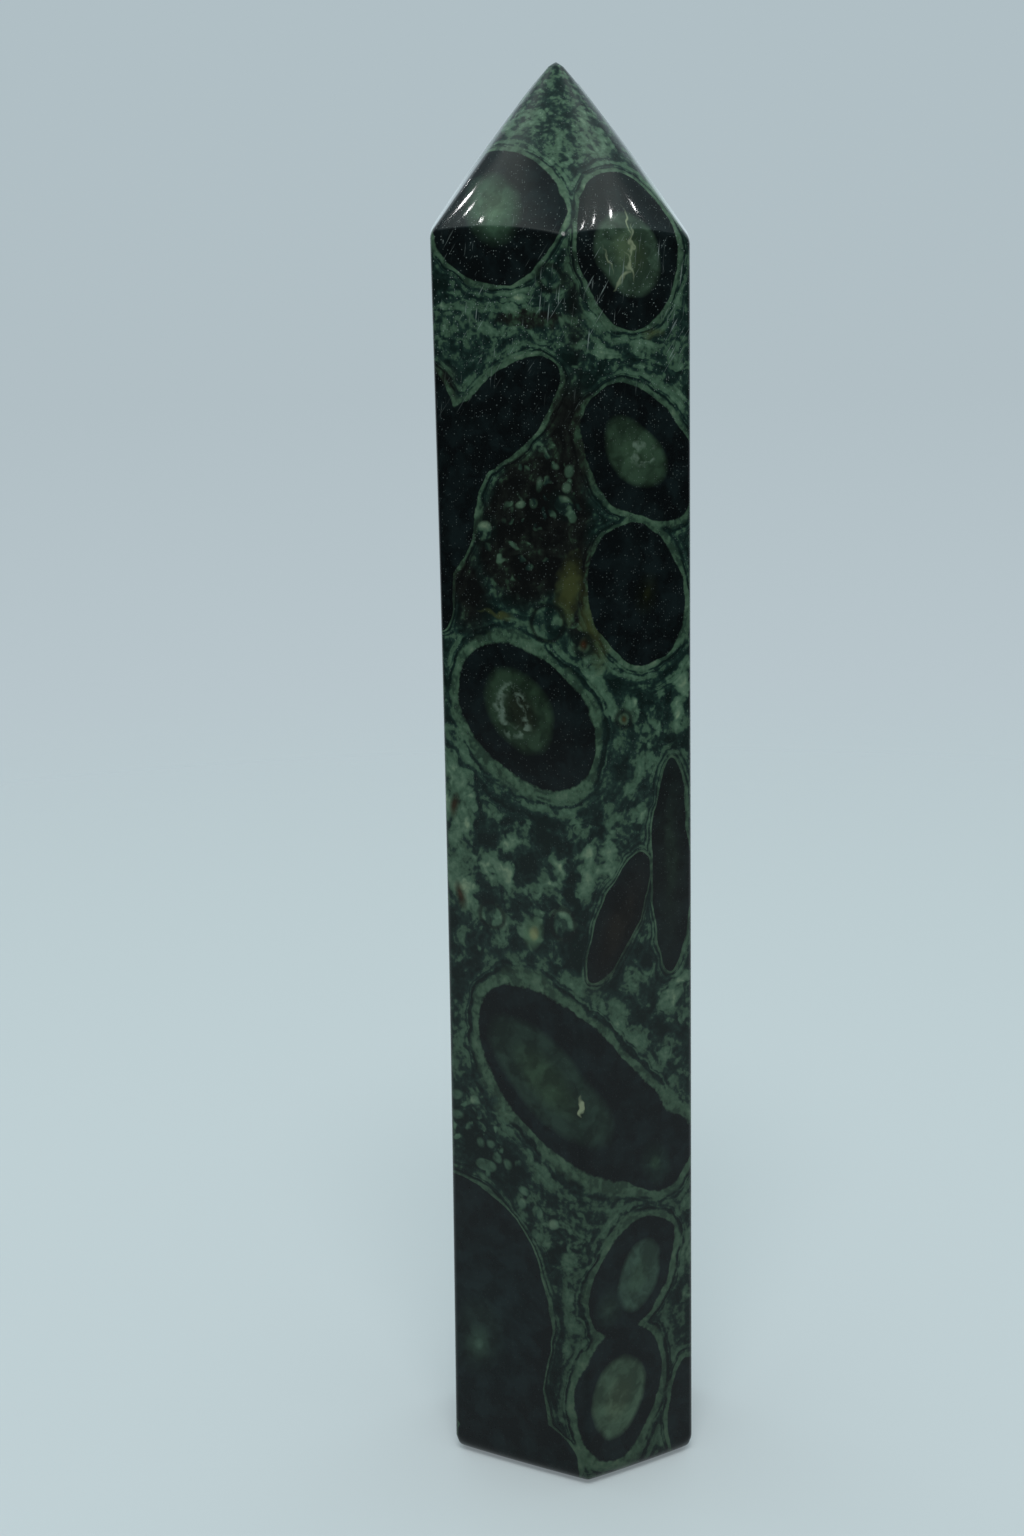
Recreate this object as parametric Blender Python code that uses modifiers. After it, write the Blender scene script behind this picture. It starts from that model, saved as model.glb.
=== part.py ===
"""Polished jasper tower: a six-sided column that rises to a six-faced point, one solid stone.

The base stands on z = 0 and the tower rises along +Z. A corner of the column points along -Y.
"""

import math

import bmesh
import bpy
from mathutils import Matrix, Vector

MM = 0.001

# Driving sizes.
SHARP_HEIGHT = 122.0 * MM  # the tip before its rounding, which leaves 121.3 mm
SHOULDER_HEIGHT = 107.5 * MM
CORNER_RADIUS = 12.22 * MM
SIDES = 6

# The stone was cut by hand, so each corner leaves the regular hexagon a little. The corners are
# listed round the column from the front one, which points along -Y, towards the right one.
BASE_SHIFTS = [
    Vector((0.83, -0.30)) * MM,
    Vector((-0.28, -0.32)) * MM,
    Vector((-0.12, 0.30)) * MM,
    Vector((0.30, 0.10)) * MM,
    Vector((-0.20, -0.20)) * MM,
    Vector((-0.47, 0.40)) * MM,
]
SHOULDER_SHIFTS = [
    Vector((0.24, -0.01)) * MM,
    Vector((-0.10, 0.02)) * MM,
    Vector((-0.03, 0.10)) * MM,
    Vector((0.10, -0.10)) * MM,
    Vector((0.17, 0.10)) * MM,
    Vector((0.09, -0.01)) * MM,
]
WAISTS = [0.05 * MM, 0.0, 0.05 * MM, 0.15 * MM, 0.25 * MM, 0.33 * MM]

TIP_SHIFT = Vector((-0.07, 0.0)) * MM

# How far the ground faces swell, and how the shoulder runs.
SIDE_SWELL = 0.12 * MM
POINT_SWELL = 0.30 * MM
SHOULDER_ARCH = 0.50 * MM
ARCH_REACH = 12.0 * MM
SHOULDER_SLOPE = -0.040

# Rounding of the polished edges.
BASE_ROUND = 1.40 * MM
EDGE_ROUND_SHARE = 0.26
ROUND_STEPS = 3
SHARP_ANGLE = math.radians(20)

# How finely the faces are divided.
RINGS = 15
CUTS_ACROSS = 5

STONE_COLOUR = (0.024, 0.034, 0.027, 1.0)
STONE_ROUGHNESS = 0.12


def clear_scene():
    for obj in list(bpy.data.objects):
        bpy.data.objects.remove(obj, do_unlink=True)


def make_collection(name):
    collection = bpy.data.collections.new(name)
    bpy.context.scene.collection.children.link(collection)
    return collection


def make_material():
    material = bpy.data.materials.new("polished_jasper")
    material.use_nodes = True
    shader = material.node_tree.nodes["Principled BSDF"]
    shader.inputs["Base Color"].default_value = STONE_COLOUR
    shader.inputs["Roughness"].default_value = STONE_ROUGHNESS
    shader.inputs["Metallic"].default_value = 0.0
    return material


def corner_direction(index):
    angle = math.radians(-90 + 360 / SIDES * index)
    return Vector((math.cos(angle), math.sin(angle)))


def column_corner(index, level):
    """Plan of one corner of the column, where level runs from 0 at the base to 1 at the shoulder."""
    index %= SIDES
    shift = BASE_SHIFTS[index].lerp(SHOULDER_SHIFTS[index], level)
    radius = CORNER_RADIUS - WAISTS[index] * math.sin(math.pi * level)
    return corner_direction(index) * radius + shift


def cut_by_hand(point):
    """Where a point of the regular tower lies on the hand-cut stone."""
    level = min(point.z / SHOULDER_HEIGHT, 1.0)
    climb = max(point.z - SHOULDER_HEIGHT, 0.0) / (SHARP_HEIGHT - SHOULDER_HEIGHT)
    if climb > 0.999:
        return Vector((*TIP_SHIFT, SHARP_HEIGHT))

    # The face that the point is on, and how far across it from one corner to the next.
    plan = point.xy / (CORNER_RADIUS * (1 - climb))
    turn = math.degrees(math.atan2(plan.y, plan.x)) + 90
    side = int(turn % 360 // (360 / SIDES))
    start, end = corner_direction(side), corner_direction(side + 1)
    across = (plan - start).dot(end - start)
    outward = (start + end).normalized()
    swell = 4 * across * (1 - across)

    plan = column_corner(side, level).lerp(column_corner(side + 1, level), across)
    plan += outward * SIDE_SWELL * swell
    if climb:
        bow = 4 * climb * (1 - climb)
        plan = plan * (1 - climb) + TIP_SHIFT * climb
        plan += outward * POINT_SWELL * swell * bow
        arch = 1 - climb
    else:
        arch = max(0.0, 1 - (SHOULDER_HEIGHT - point.z) / ARCH_REACH) ** 2
    rise = SHOULDER_ARCH * swell * arch + SHOULDER_SLOPE * plan.x * level
    return Vector((plan.x, plan.y, point.z + rise))


def is_on_upright(edge):
    """True for the column's corner edges, and for the pieces that they are cut into."""
    low, high = sorted(vert.co.z for vert in edge.verts)
    return high - low > MM and high < SHOULDER_HEIGHT + MM


def regular_tower():
    """A regular column with its point, the faces divided so that they can be curved."""
    bm = bmesh.new()
    bmesh.ops.create_cone(
        bm,
        cap_ends=True,
        segments=SIDES,
        radius1=CORNER_RADIUS,
        radius2=CORNER_RADIUS,
        depth=SHOULDER_HEIGHT,
        matrix=Matrix.Translation((0, 0, SHOULDER_HEIGHT / 2)),
    )
    uprights = [edge for edge in bm.edges if is_on_upright(edge)]
    top = max(bm.faces, key=lambda face: face.calc_center_median().z)
    bmesh.ops.poke(bm, faces=[top])["verts"][0].co.z = SHARP_HEIGHT
    bmesh.ops.subdivide_edges(bm, edges=uprights, cuts=RINGS)
    across_faces = [edge for edge in bm.edges if not is_on_upright(edge)]
    bmesh.ops.subdivide_edges(bm, edges=across_faces, cuts=CUTS_ACROSS, use_grid_fill=True)
    return bm


def weigh_edges(bm):
    """Bevel weights: full round the base, less on the column's corners, the shoulder and the ridges."""
    weights = bm.edges.layers.float.new("bevel_weight_edge")
    for edge in bm.edges:
        if edge.calc_face_angle() < SHARP_ANGLE:
            continue
        at_base = max(vert.co.z for vert in edge.verts) < MM / 10
        edge[weights] = 1.0 if at_base else EDGE_ROUND_SHARE


def make_tower(collection, material):
    bm = regular_tower()
    for vert in bm.verts:
        vert.co = cut_by_hand(vert.co)
    weigh_edges(bm)
    bmesh.ops.recalc_face_normals(bm, faces=bm.faces)
    mesh = bpy.data.meshes.new("tower")
    bm.to_mesh(mesh)
    bm.free()
    tower = bpy.data.objects.new("tower", mesh)
    collection.objects.link(tower)
    mesh.materials.append(material)

    rounding = tower.modifiers.new("polished_edges", "BEVEL")
    rounding.limit_method = "WEIGHT"
    rounding.width = BASE_ROUND
    rounding.segments = ROUND_STEPS
    return tower


def stand_on_centre(obj):
    """Moves the object so that its outline is centred on the world's vertical axis."""
    bpy.context.view_layer.update()
    evaluated = obj.evaluated_get(bpy.context.evaluated_depsgraph_get())
    mesh = evaluated.to_mesh()
    xs = [vert.co.x for vert in mesh.vertices]
    ys = [vert.co.y for vert in mesh.vertices]
    zs = [vert.co.z for vert in mesh.vertices]
    evaluated.to_mesh_clear()
    obj.location = (-(min(xs) + max(xs)) / 2, -(min(ys) + max(ys)) / 2, -min(zs))


def main():
    clear_scene()
    collection = make_collection("kambaba_jasper_tower")
    tower = make_tower(collection, make_material())
    stand_on_centre(tower)


main()
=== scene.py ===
"""The looks of a polished kambaba jasper tower: one hand-cut stone on a pale floor."""

import math
from collections import namedtuple

import bmesh
import bpy
from mathutils import Matrix, Vector

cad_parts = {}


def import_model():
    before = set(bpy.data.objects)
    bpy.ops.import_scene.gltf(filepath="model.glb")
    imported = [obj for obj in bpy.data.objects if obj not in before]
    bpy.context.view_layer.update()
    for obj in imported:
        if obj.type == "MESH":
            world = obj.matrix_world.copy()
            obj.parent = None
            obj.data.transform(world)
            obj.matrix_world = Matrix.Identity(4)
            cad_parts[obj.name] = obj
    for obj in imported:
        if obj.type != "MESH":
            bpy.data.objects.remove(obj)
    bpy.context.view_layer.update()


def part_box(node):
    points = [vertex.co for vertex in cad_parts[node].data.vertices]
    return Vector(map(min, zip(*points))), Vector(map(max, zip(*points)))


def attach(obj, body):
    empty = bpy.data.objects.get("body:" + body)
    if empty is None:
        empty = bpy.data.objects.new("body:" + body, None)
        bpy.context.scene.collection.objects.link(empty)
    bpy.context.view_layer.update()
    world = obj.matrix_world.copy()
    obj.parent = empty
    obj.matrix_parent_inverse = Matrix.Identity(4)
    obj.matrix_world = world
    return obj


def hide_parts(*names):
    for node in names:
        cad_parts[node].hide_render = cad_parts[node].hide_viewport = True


MM = 0.001

# The stone's shape, which is the shape of the solid in the frame.
SIDES = 6
CORNER_RADIUS = 12.22 * MM
SHOULDER_HEIGHT = 107.5 * MM
SHARP_HEIGHT = 122.0 * MM
TIP_SHIFT = Vector((-0.07, 0.0)) * MM

# How far each corner of the hand-cut column leaves a regular hexagon at the base and at the
# shoulder, and how far it draws in between them. They run from the front corner round to the right.
BASE_SHIFTS = [
    Vector((0.83, -0.30)) * MM,
    Vector((-0.28, -0.32)) * MM,
    Vector((-0.12, 0.30)) * MM,
    Vector((0.30, 0.10)) * MM,
    Vector((-0.20, -0.20)) * MM,
    Vector((-0.47, 0.40)) * MM,
]
SHOULDER_SHIFTS = [
    Vector((0.24, -0.01)) * MM,
    Vector((-0.10, 0.02)) * MM,
    Vector((-0.03, 0.10)) * MM,
    Vector((0.10, -0.10)) * MM,
    Vector((0.17, 0.10)) * MM,
    Vector((0.09, -0.01)) * MM,
]
WAISTS = [0.05 * MM, 0.0, 0.05 * MM, 0.15 * MM, 0.25 * MM, 0.33 * MM]

# How far the ground faces swell, and how the shoulder arches over each and slopes to the right.
SIDE_SWELL = 0.12 * MM
POINT_SWELL = 0.30 * MM
SHOULDER_ARCH = 0.50 * MM
ARCH_REACH = 12.0 * MM
SHOULDER_SLOPE = -0.040

# The rounding of the edges, and how finely the faces are divided.
BASE_ROUND = 1.40 * MM
EDGE_ROUND_SHARE = 0.26
ROUND_STEPS = 6
SHARP_ANGLE = math.radians(20)
RINGS = 63
CUTS_ACROSS = 11

# The camera, as the photograph was taken: from a little above the tip, close up.
FRAME_HEIGHT_PX = 1536
FOCAL_PX = 2300
CAMERA_PLACE = Vector((-1.6, -196.3, 106.2)) * MM
CAMERA_PITCH = math.radians(12.63)
CAMERA_YAW = math.radians(-0.88)
CAMERA_ROLL = math.radians(-1.16)

# The light and the floor it falls on. A strength is how bright a lamp's face is, where white paper
# in full light is 1. A glint is a small bare lamp: its place and its size, in mm.
STONE_MIDDLE = Vector((0, 0, 60)) * MM
SOFT_LAMP_PLACE = Vector((0, -400, 740)) * MM
SOFT_LAMP_SIZE = 300 * MM
SOFT_LAMP_STRENGTH = 12.0
GLINTS = [
    (Vector((-201, 198, 321)), 2.6),
    (Vector((-221, 82, 373)), 4.0),
    (Vector((-222, 49, 381)), 2.4),
    (Vector((-218, 4, 388)), 2.4),
    (Vector((231, 49, 371)), 3.2),
    (Vector((213, -1, 390)), 2.8),
    (Vector((193, -22, 402)), 2.2),
    (Vector((180, -30, 409)), 1.6),
]
GLINT_STRENGTH = 260.0
GLINT_STRETCH = 1.8
ROOM_STRENGTH = 1.85
FLOOR_FADE = 150 * MM
FLOOR_END = 420 * MM
FLOOR_GAP = 0.1 * MM

# The colours round the stone. The backdrop's run from below the horizon to above it, and the dim
# room's from the horizon to the ceiling, whose bright part shows in the gloss of the point.
PAPER = "#A8AEB0"
PAPER_GLOW = "#747B7E"
BACKDROP = [(0.10, "#C0CED3"), (0.28, "#BAC8CE"), (0.44, "#B1BFC5"), (0.60, "#B0BFC5")]
ROOM = [
    (0.00, "#1A1E20"),
    (0.64, "#272D2F"),
    (0.74, "#90A7AB"),
    (0.79, "#EDFFFC"),
    (0.86, "#EDFFFC"),
    (0.92, "#9BAEB3"),
    (1.00, "#616F73"),
]

# The rock's own colours. The first two lists run from dark to pale with how green the rock is.
GREENS = [
    (0.38, "#121F1C"),
    (0.46, "#1C2D29"),
    (0.500, "#273C35"),
    (0.522, "#3E5544"),
    (0.58, "#4D6955"),
    (0.64, "#607A64"),
    (0.76, "#879C7E"),
]
STAINED = [
    (0.38, "#131212"),
    (0.46, "#1B1A18"),
    (0.51, "#20241E"),
    (0.56, "#2A3A2D"),
    (0.66, "#435C48"),
]
BLACK = "#0E1213"
BLACK_PATCH = "#172021"
OLIVE_RIM = "#3E5340"
OCHRE = "#454B2B"
BEAD_RING = "#131A18"
PALE_FLECK = "#7D9181"
QUARTZ = "#949F80"
WORN_POLISH = "#98A6A2"

# The polish over silica: how strongly it mirrors, and the faint haze on top of that.
SILICA_IOR = 1.54
MIRRORING = 0.145
HAZE = 0.05
HAZE_ROUGHNESS = 0.22

# How the noises bend the pattern: the size of their patches and how far they move it, in mm.
SWAY = (6.0, 0.6)
BEND = (2.0, 0.25)
FRAY = (0.9, 0.55)

# Sizes in mm of the patches, spots and pinpricks. A scratch's is across, inward and along, and its
# leans are in degrees. Real scratches and dust are finer: these are as coarse as they need to show.
SLOW_SIZE = 4.0
MOTTLE_SIZE = 1.9
FINE_SIZE = 0.8
GRAIN_SIZE = 0.4
SPOT_SPACING = 1.1
PINPRICK_SPACING = 0.17
PINPRICK_RADIUS = 0.06
SCRATCH_SIZE = (0.12, 2.0, 2.6)
SCRATCH_LEANS = (6, 32)

# The heights in mm between which the greens grow lighter, dust grows denser, the polish is worn,
# from below and from above, and the point grows duller. The darker greens low down are partly
# painted shade, as less light reaches the lower column, and partly the rock's own tone.
SHADE_AND_TONE_LIFT_UP = (5.0, 70.0)
DUSTIER_UP = (45.0, 75.0)
WORN_FROM_BELOW = (92.0, 100.0)
WORN_FROM_ABOVE = (110.0, 107.0)
DULLER_UP = (109.0, 115.0)

# What the pattern is built from at a place in the stone: the place and its height, in mm; the place
# once bent for the orbs, and then frayed for the rock; noises from coarse to fine; how far the
# nearest orb is, counted in rims; the bands that run along it; and small round spots.
Fields = namedtuple("Fields", "place height bent frayed slow mottle fine grain orbs bands spots")

# The pattern is made of rounded bodies of colour inside the stone, listed for the corner that faces
# the eye: the front one and the ones a third of a turn to its right and left. Each place is across
# and up, in mm; the lean turns the top to the right, in degrees.
TURNS = (0, 120, 240)
Orb = namedtuple("Orb", "x z half_width half_height lean rim")
Blob = namedtuple("Blob", "x z half_width half_height lean")
Core = namedtuple("Core", "x z half_width half_height lean edge middle soft")

# How deep a blob reaches into the stone: a least depth, and a share of its half width.
DEPTH_LEAST = 1.0
DEPTH_SHARE = 1.4

# Black orbs, each with the width of the green rim that the bands of the rock follow.
FRONT_ORBS = [
    Orb(-4.8, 109.2, 5.5, 5.7, -40, 0.35),
    Orb(5.5, 106.5, 4.3, 6.5, -6, 0.4),
    Orb(-4.8, 93.4, 3.25, 6.5, 47, 0.4),
    Orb(-8.0, 90.6, 2.4, 4.3, 15, 0.4),
    Orb(-10.5, 88.6, 2.3, 8.4, 0, 0.4),
    Orb(-8.9, 84.6, 1.8, 5.2, 8, 0.4),
    Orb(-10.4, 81.5, 1.8, 6.2, 0, 0.15),
    Orb(6.3, 89.9, 4.3, 6.5, -41, 0.45),
    Orb(6.0, 78.6, 4.1, 5.8, -18, 0.45),
    Orb(-3.3, 68.8, 4.9, 7.0, -44, 0.75),
    Orb(4.1, 51.2, 1.9, 6.5, 25, 0.15),
    Orb(8.9, 55.2, 1.7, 9.4, 0, 0.18),
    Orb(-0.8, 37.3, 5.6, 10.4, -43, 0.95),
    Orb(3.2, 33.3, 4.4, 7.4, -52, 0.8),
    Orb(7.5, 29.7, 3.5, 3.7, -35, 0.6),
    Orb(-8.1, 13.7, 6.1, 12.0, 0, 0.25),
    Orb(-8.6, 23.6, 2.4, 5.0, -57, 0.4),
    Orb(-4.9, 6.0, 2.4, 4.6, 0, 0.3),
    Orb(-5.2, 1.2, 5.8, 4.4, 0, 0.3),
    Orb(4.9, 18.6, 3.6, 5.9, 30, 0.6),
    Orb(3.8, 7.9, 3.9, 6.4, 9, 0.6),
    Orb(10.3, 4.1, 1.9, 5.5, 0, 0.4),
]
RIGHT_ORBS = [
    Orb(3.4, 110.2, 2.8, 3.4, 0, 0.4),
    Orb(-3.6, 99.5, 4.2, 5.4, 25, 0.7),
    Orb(6.6, 96.5, 4.4, 7.0, -10, 0.6),
    Orb(0.6, 82.5, 5.4, 6.6, 30, 0.9),
    Orb(9.4, 78.0, 2.4, 6.2, 0, 0.4),
    Orb(-5.2, 68.8, 3.2, 5.0, -10, 0.5),
    Orb(4.8, 62.5, 5.4, 7.6, -35, 0.9),
    Orb(-3.2, 47.5, 4.6, 6.0, 0, 0.8),
    Orb(7.4, 41.0, 2.8, 7.0, 10, 0.5),
    Orb(-1.2, 30.5, 4.2, 7.8, 30, 0.8),
    Orb(6.2, 20.0, 5.0, 6.0, 0, 0.7),
    Orb(-4.6, 12.0, 4.2, 6.4, -10, 0.6),
    Orb(4.2, 4.0, 3.4, 4.2, 0, 0.5),
]
LEFT_ORBS = [
    Orb(-3.6, 110.0, 3.2, 3.6, 0, 0.5),
    Orb(3.4, 101.5, 4.2, 5.2, 10, 0.8),
    Orb(-5.8, 94.5, 4.2, 6.8, -10, 0.6),
    Orb(3.3, 87.8, 2.6, 3.8, 25, 0.4),
    Orb(-1.6, 77.0, 5.6, 6.2, 0, 1.0),
    Orb(6.7, 71.5, 2.8, 6.4, -10, 0.5),
    Orb(-7.2, 62.5, 3.4, 6.0, 10, 0.4),
    Orb(2.4, 57.0, 4.8, 7.2, 30, 0.8),
    Orb(-4.0, 43.5, 5.0, 7.4, -35, 0.9),
    Orb(5.8, 38.5, 3.8, 5.4, 0, 0.6),
    Orb(-8.4, 27.5, 2.4, 6.0, 10, 0.4),
    Orb(-0.4, 22.5, 4.7, 8.0, -10, 0.8),
    Orb(-5.4, 8.0, 4.4, 5.2, 0, 0.7),
]

# Green or olive cores in the middle of orbs: the colours of their edge and of their own middle,
# and how softly they end.
FRONT_CORES = [
    Core(-5.2, 109.6, 1.9, 2.5, -37, "#3D5643", "#4A634D", 0.8),
    Core(5.4, 105.8, 2.5, 3.4, -26, "#3C4F40", "#465640", 0.2),
    Core(5.8, 90.0, 2.1, 3.3, -42, "#304233", "#334635", 0.2),
    Core(-3.9, 69.3, 2.6, 3.8, -28, "#28382A", "#1F261C", 0.25),
    Core(-2.2, 37.3, 2.9, 7.6, -44, "#223129", "#2B3D2D", 0.3),
    Core(7.4, 28.8, 0.9, 1.5, -10, "#20302A", "#33493A", 0.6),
    Core(-8.0, 13.0, 4.4, 9.0, 5, "#121B1C", "#152020", 1.0),
    Core(-8.6, 11.8, 2.0, 3.2, 10, "#17221F", "#1D2A26", 0.5),
    Core(-8.7, 11.0, 0.8, 1.1, 10, "#2A3B31", "#3C5044", 0.5),
    Core(5.6, 18.7, 1.9, 3.1, 14, "#34473C", "#364A3C", 0.2),
    Core(2.9, 16.3, 1.2, 1.8, 20, "#1B2723", "#24322B", 0.5),
    Core(3.7, 7.5, 2.3, 3.7, 6, "#3D4F3F", "#445341", 0.2),
    Core(6.6, 78.6, 0.7, 1.0, 0, "#161A12", "#1E2214", 0.6),
    Core(-3.1, 50.2, 0.7, 1.2, 10, "#465E48", "#68704F", 0.2),
    Core(4.2, 50.6, 1.5, 5.4, 25, "#151311", "#191612", 0.7),
    Core(8.9, 56.0, 1.0, 7.6, 2, "#141C18", "#1A251E", 0.6),
    Core(-9.3, 60.3, 0.35, 0.9, 10, "#2A2418", "#38291A", 0.15),
    Core(-9.1, 52.6, 0.35, 1.0, -10, "#2A2418", "#38291A", 0.15),
    Core(4.9, 68.4, 0.3, 0.45, 0, "#333322", "#403621", 0.15),
    Core(1.7, 75.0, 0.35, 0.5, 0, "#30281B", "#412D1E", 0.15),
]
RIGHT_CORES = [
    Core(-3.8, 99.8, 2.1, 2.9, 30, "#2E4236", "#26341F", 0.3),
    Core(6.8, 96.0, 2.0, 3.6, -10, "#3A5042", "#465C46", 0.4),
    Core(0.4, 82.0, 2.9, 3.4, 30, "#2B3F33", "#1F2A20", 0.3),
    Core(5.0, 62.8, 3.0, 4.4, -40, "#33493C", "#3E5242", 0.4),
    Core(-3.0, 47.2, 2.2, 3.0, 0, "#22352D", "#3A4F42", 0.5),
    Core(-1.0, 30.5, 2.0, 4.4, 30, "#34493F", "#3A5045", 0.3),
    Core(6.4, 20.2, 2.7, 3.0, 0, "#384F3F", "#445840", 0.3),
]
LEFT_CORES = [
    Core(3.4, 101.6, 2.2, 2.8, 10, "#3A5042", "#485C44", 0.4),
    Core(-6.0, 94.0, 1.9, 3.8, -10, "#2B3F33", "#33483A", 0.5),
    Core(-1.6, 77.0, 3.0, 3.4, 0, "#2C4031", "#212C20", 0.3),
    Core(2.6, 57.0, 2.4, 4.0, 30, "#34493C", "#3E5445", 0.3),
    Core(-4.0, 43.8, 2.6, 4.4, -40, "#22352D", "#2B4035", 0.7),
    Core(-0.4, 22.5, 2.5, 4.6, -10, "#384F3F", "#445840", 0.3),
    Core(-5.4, 8.0, 1.6, 2.0, 0, "#22352D", "#43584B", 0.4),
]

# Patches where the rock between the orbs is green all through.
FRONT_GREENS = [
    Blob(0.2, 113.6, 1.0, 3.0, 0),
    Blob(3.2, 114.6, 2.6, 1.2, 40),
    Blob(-2.8, 116.4, 1.6, 1.0, -40),
    Blob(0.7, 108.5, 0.5, 5.6, 0),
    Blob(7.6, 111.2, 3.0, 0.9, 40),
    Blob(9.3, 108.4, 1.0, 2.6, -30),
    Blob(10.3, 103.4, 0.5, 4.4, 0),
    Blob(-4.7, 103.1, 4.2, 0.6, 0),
    Blob(-5.4, 102.0, 4.4, 0.4, 0),
    Blob(-4.8, 100.1, 2.8, 0.5, 0),
    Blob(2.2, 100.7, 0.7, 2.5, -30),
    Blob(7.1, 98.2, 4.3, 0.8, 20),
    Blob(-2.4, 98.9, 2.7, 0.5, -10),
    Blob(3.4, 98.5, 2.8, 0.5, 20),
    Blob(7.9, 95.3, 3.5, 0.6, 30),
    Blob(-1.4, 91.5, 0.5, 2.6, 40),
    Blob(-4.2, 89.1, 0.7, 3.2, 50),
    Blob(-6.8, 84.6, 0.5, 3.4, 12),
    Blob(5.6, 72.6, 3.6, 0.7, 0),
    Blob(2.4, 72.7, 1.0, 2.4, -10),
    Blob(2.3, 77.0, 0.8, 3.0, -12),
    Blob(6.0, 64.2, 1.9, 2.5, 10),
    Blob(4.9, 69.3, 1.6, 1.3, 20),
    Blob(9.2, 65.2, 1.3, 0.5, 10),
    Blob(10.0, 69.3, 0.5, 2.6, 0),
    Blob(-9.0, 58.0, 1.6, 8.6, 0),
    Blob(-5.3, 60.4, 0.8, 0.8, 0),
    Blob(-4.3, 58.0, 1.4, 1.0, -30),
    Blob(-0.8, 61.0, 2.6, 0.7, 10),
    Blob(-1.2, 55.8, 1.0, 1.3, 0),
    Blob(2.0, 55.8, 1.2, 2.8, 20),
    Blob(3.9, 57.8, 0.4, 2.7, 0),
    Blob(2.7, 52.9, 0.5, 2.2, 20),
    Blob(-6.5, 51.1, 1.3, 1.1, 0),
    Blob(-3.2, 50.3, 0.9, 2.0, 10),
    Blob(-0.6, 51.3, 1.1, 1.3, 0),
    Blob(-5.7, 54.9, 1.4, 1.2, 0),
    Blob(7.4, 58.5, 0.8, 2.0, 10),
    Blob(0.6, 46.6, 2.4, 1.2, -30),
    Blob(5.2, 45.4, 1.6, 0.8, -10),
    Blob(4.4, 43.0, 0.7, 2.2, -10),
    Blob(8.4, 43.6, 1.0, 1.6, 10),
    Blob(6.2, 40.8, 2.2, 0.8, 30),
    Blob(8.8, 38.8, 1.4, 1.2, 20),
    Blob(9.6, 45.2, 0.8, 1.2, 0),
    Blob(8.2, 35.9, 0.6, 4.6, -38),
    Blob(-3.0, 28.8, 6.3, 0.8, 35),
    Blob(0.7, 21.0, 1.0, 0.9, 0),
    Blob(2.7, 25.1, 2.2, 1.1, 20),
    Blob(-0.2, 14.5, 1.0, 8.0, 0),
    Blob(0.2, 5.0, 0.9, 4.6, -10),
    Blob(9.8, 20.2, 0.7, 4.9, 0),
    Blob(8.8, 12.0, 1.0, 3.3, -10),
    Blob(2.1, 1.4, 2.4, 1.0, 20),
    Blob(7.2, 2.6, 1.2, 2.6, 10),
]
RIGHT_GREENS = [
    Blob(-1.5, 106.5, 3.4, 1.0, 20),
    Blob(1.6, 98.0, 0.8, 4.2, -10),
    Blob(-7.2, 90.0, 1.8, 3.2, 20),
    Blob(-4.4, 76.8, 2.4, 1.0, -10),
    Blob(5.8, 72.6, 2.6, 1.2, 20),
    Blob(-6.4, 57.6, 2.2, 1.3, 20),
    Blob(2.6, 40.0, 1.0, 3.6, 10),
    Blob(3.4, 29.4, 2.6, 0.8, 20),
    Blob(0.6, 18.4, 1.0, 4.0, 0),
]
LEFT_GREENS = [
    Blob(0.6, 115.5, 2.2, 2.8, 0),
    Blob(-1.2, 104.6, 1.0, 3.2, 10),
    Blob(0.4, 94.0, 0.9, 3.8, 10),
    Blob(5.6, 81.8, 2.0, 1.4, 20),
    Blob(3.6, 68.2, 1.6, 2.4, 10),
    Blob(-2.6, 66.4, 3.0, 0.9, -10),
    Blob(7.6, 47.6, 1.8, 2.6, 0),
    Blob(-0.8, 34.0, 3.4, 0.9, 20),
    Blob(1.4, 8.8, 2.4, 1.0, 20),
]

# Wider stretches, mottled green and dark in equal parts, and ones that are nearly all dark.
FRONT_MOTTLED = [
    Blob(-1.6, 25.0, 4.0, 2.0, 35),
    Blob(-0.2, 117.5, 5.0, 6.0, 0),
    Blob(-5.5, 100.2, 7.0, 2.4, 0),
    Blob(1.2, 10.0, 1.0, 12.0, 0),
]
FRONT_DARKS = [
    Blob(0.3, 92.0, 2.2, 4.6, 0),
    Blob(-3.6, 84.5, 4.4, 5.4, 0),
    Blob(1.6, 83.0, 2.4, 4.0, -10),
    Blob(-7.6, 79.0, 1.4, 3.4, 0),
    Blob(-1.4, 59.0, 2.6, 1.8, 0),
    Blob(0.5, 48.9, 1.6, 1.4, 0),
    Blob(-7.0, 30.0, 4.0, 2.0, 35),
]

# Stretches stained brown and ochre by iron.
FRONT_STAINS = [
    Blob(-9.5, 96.1, 1.2, 1.4, 0),
    Blob(0.6, 91.0, 2.0, 5.2, 0),
    Blob(-2.4, 84.5, 4.6, 6.4, 20),
    Blob(1.6, 79.5, 2.0, 5.6, -10),
    Blob(1.0, 102.0, 0.4, 3.4, 0),
    Blob(-2.6, 101.2, 3.0, 0.7, 0),
    Blob(-7.7, 79.0, 1.4, 3.6, 0),
]
FRONT_OCHRES = [
    Blob(0.4, 79.6, 1.2, 2.8, 10),
    Blob(2.4, 76.4, 0.9, 3.2, -12),
    Blob(-5.6, 77.2, 1.2, 0.4, 0),
    Blob(7.5, 99.6, 0.6, 0.4, 0),
]

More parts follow.
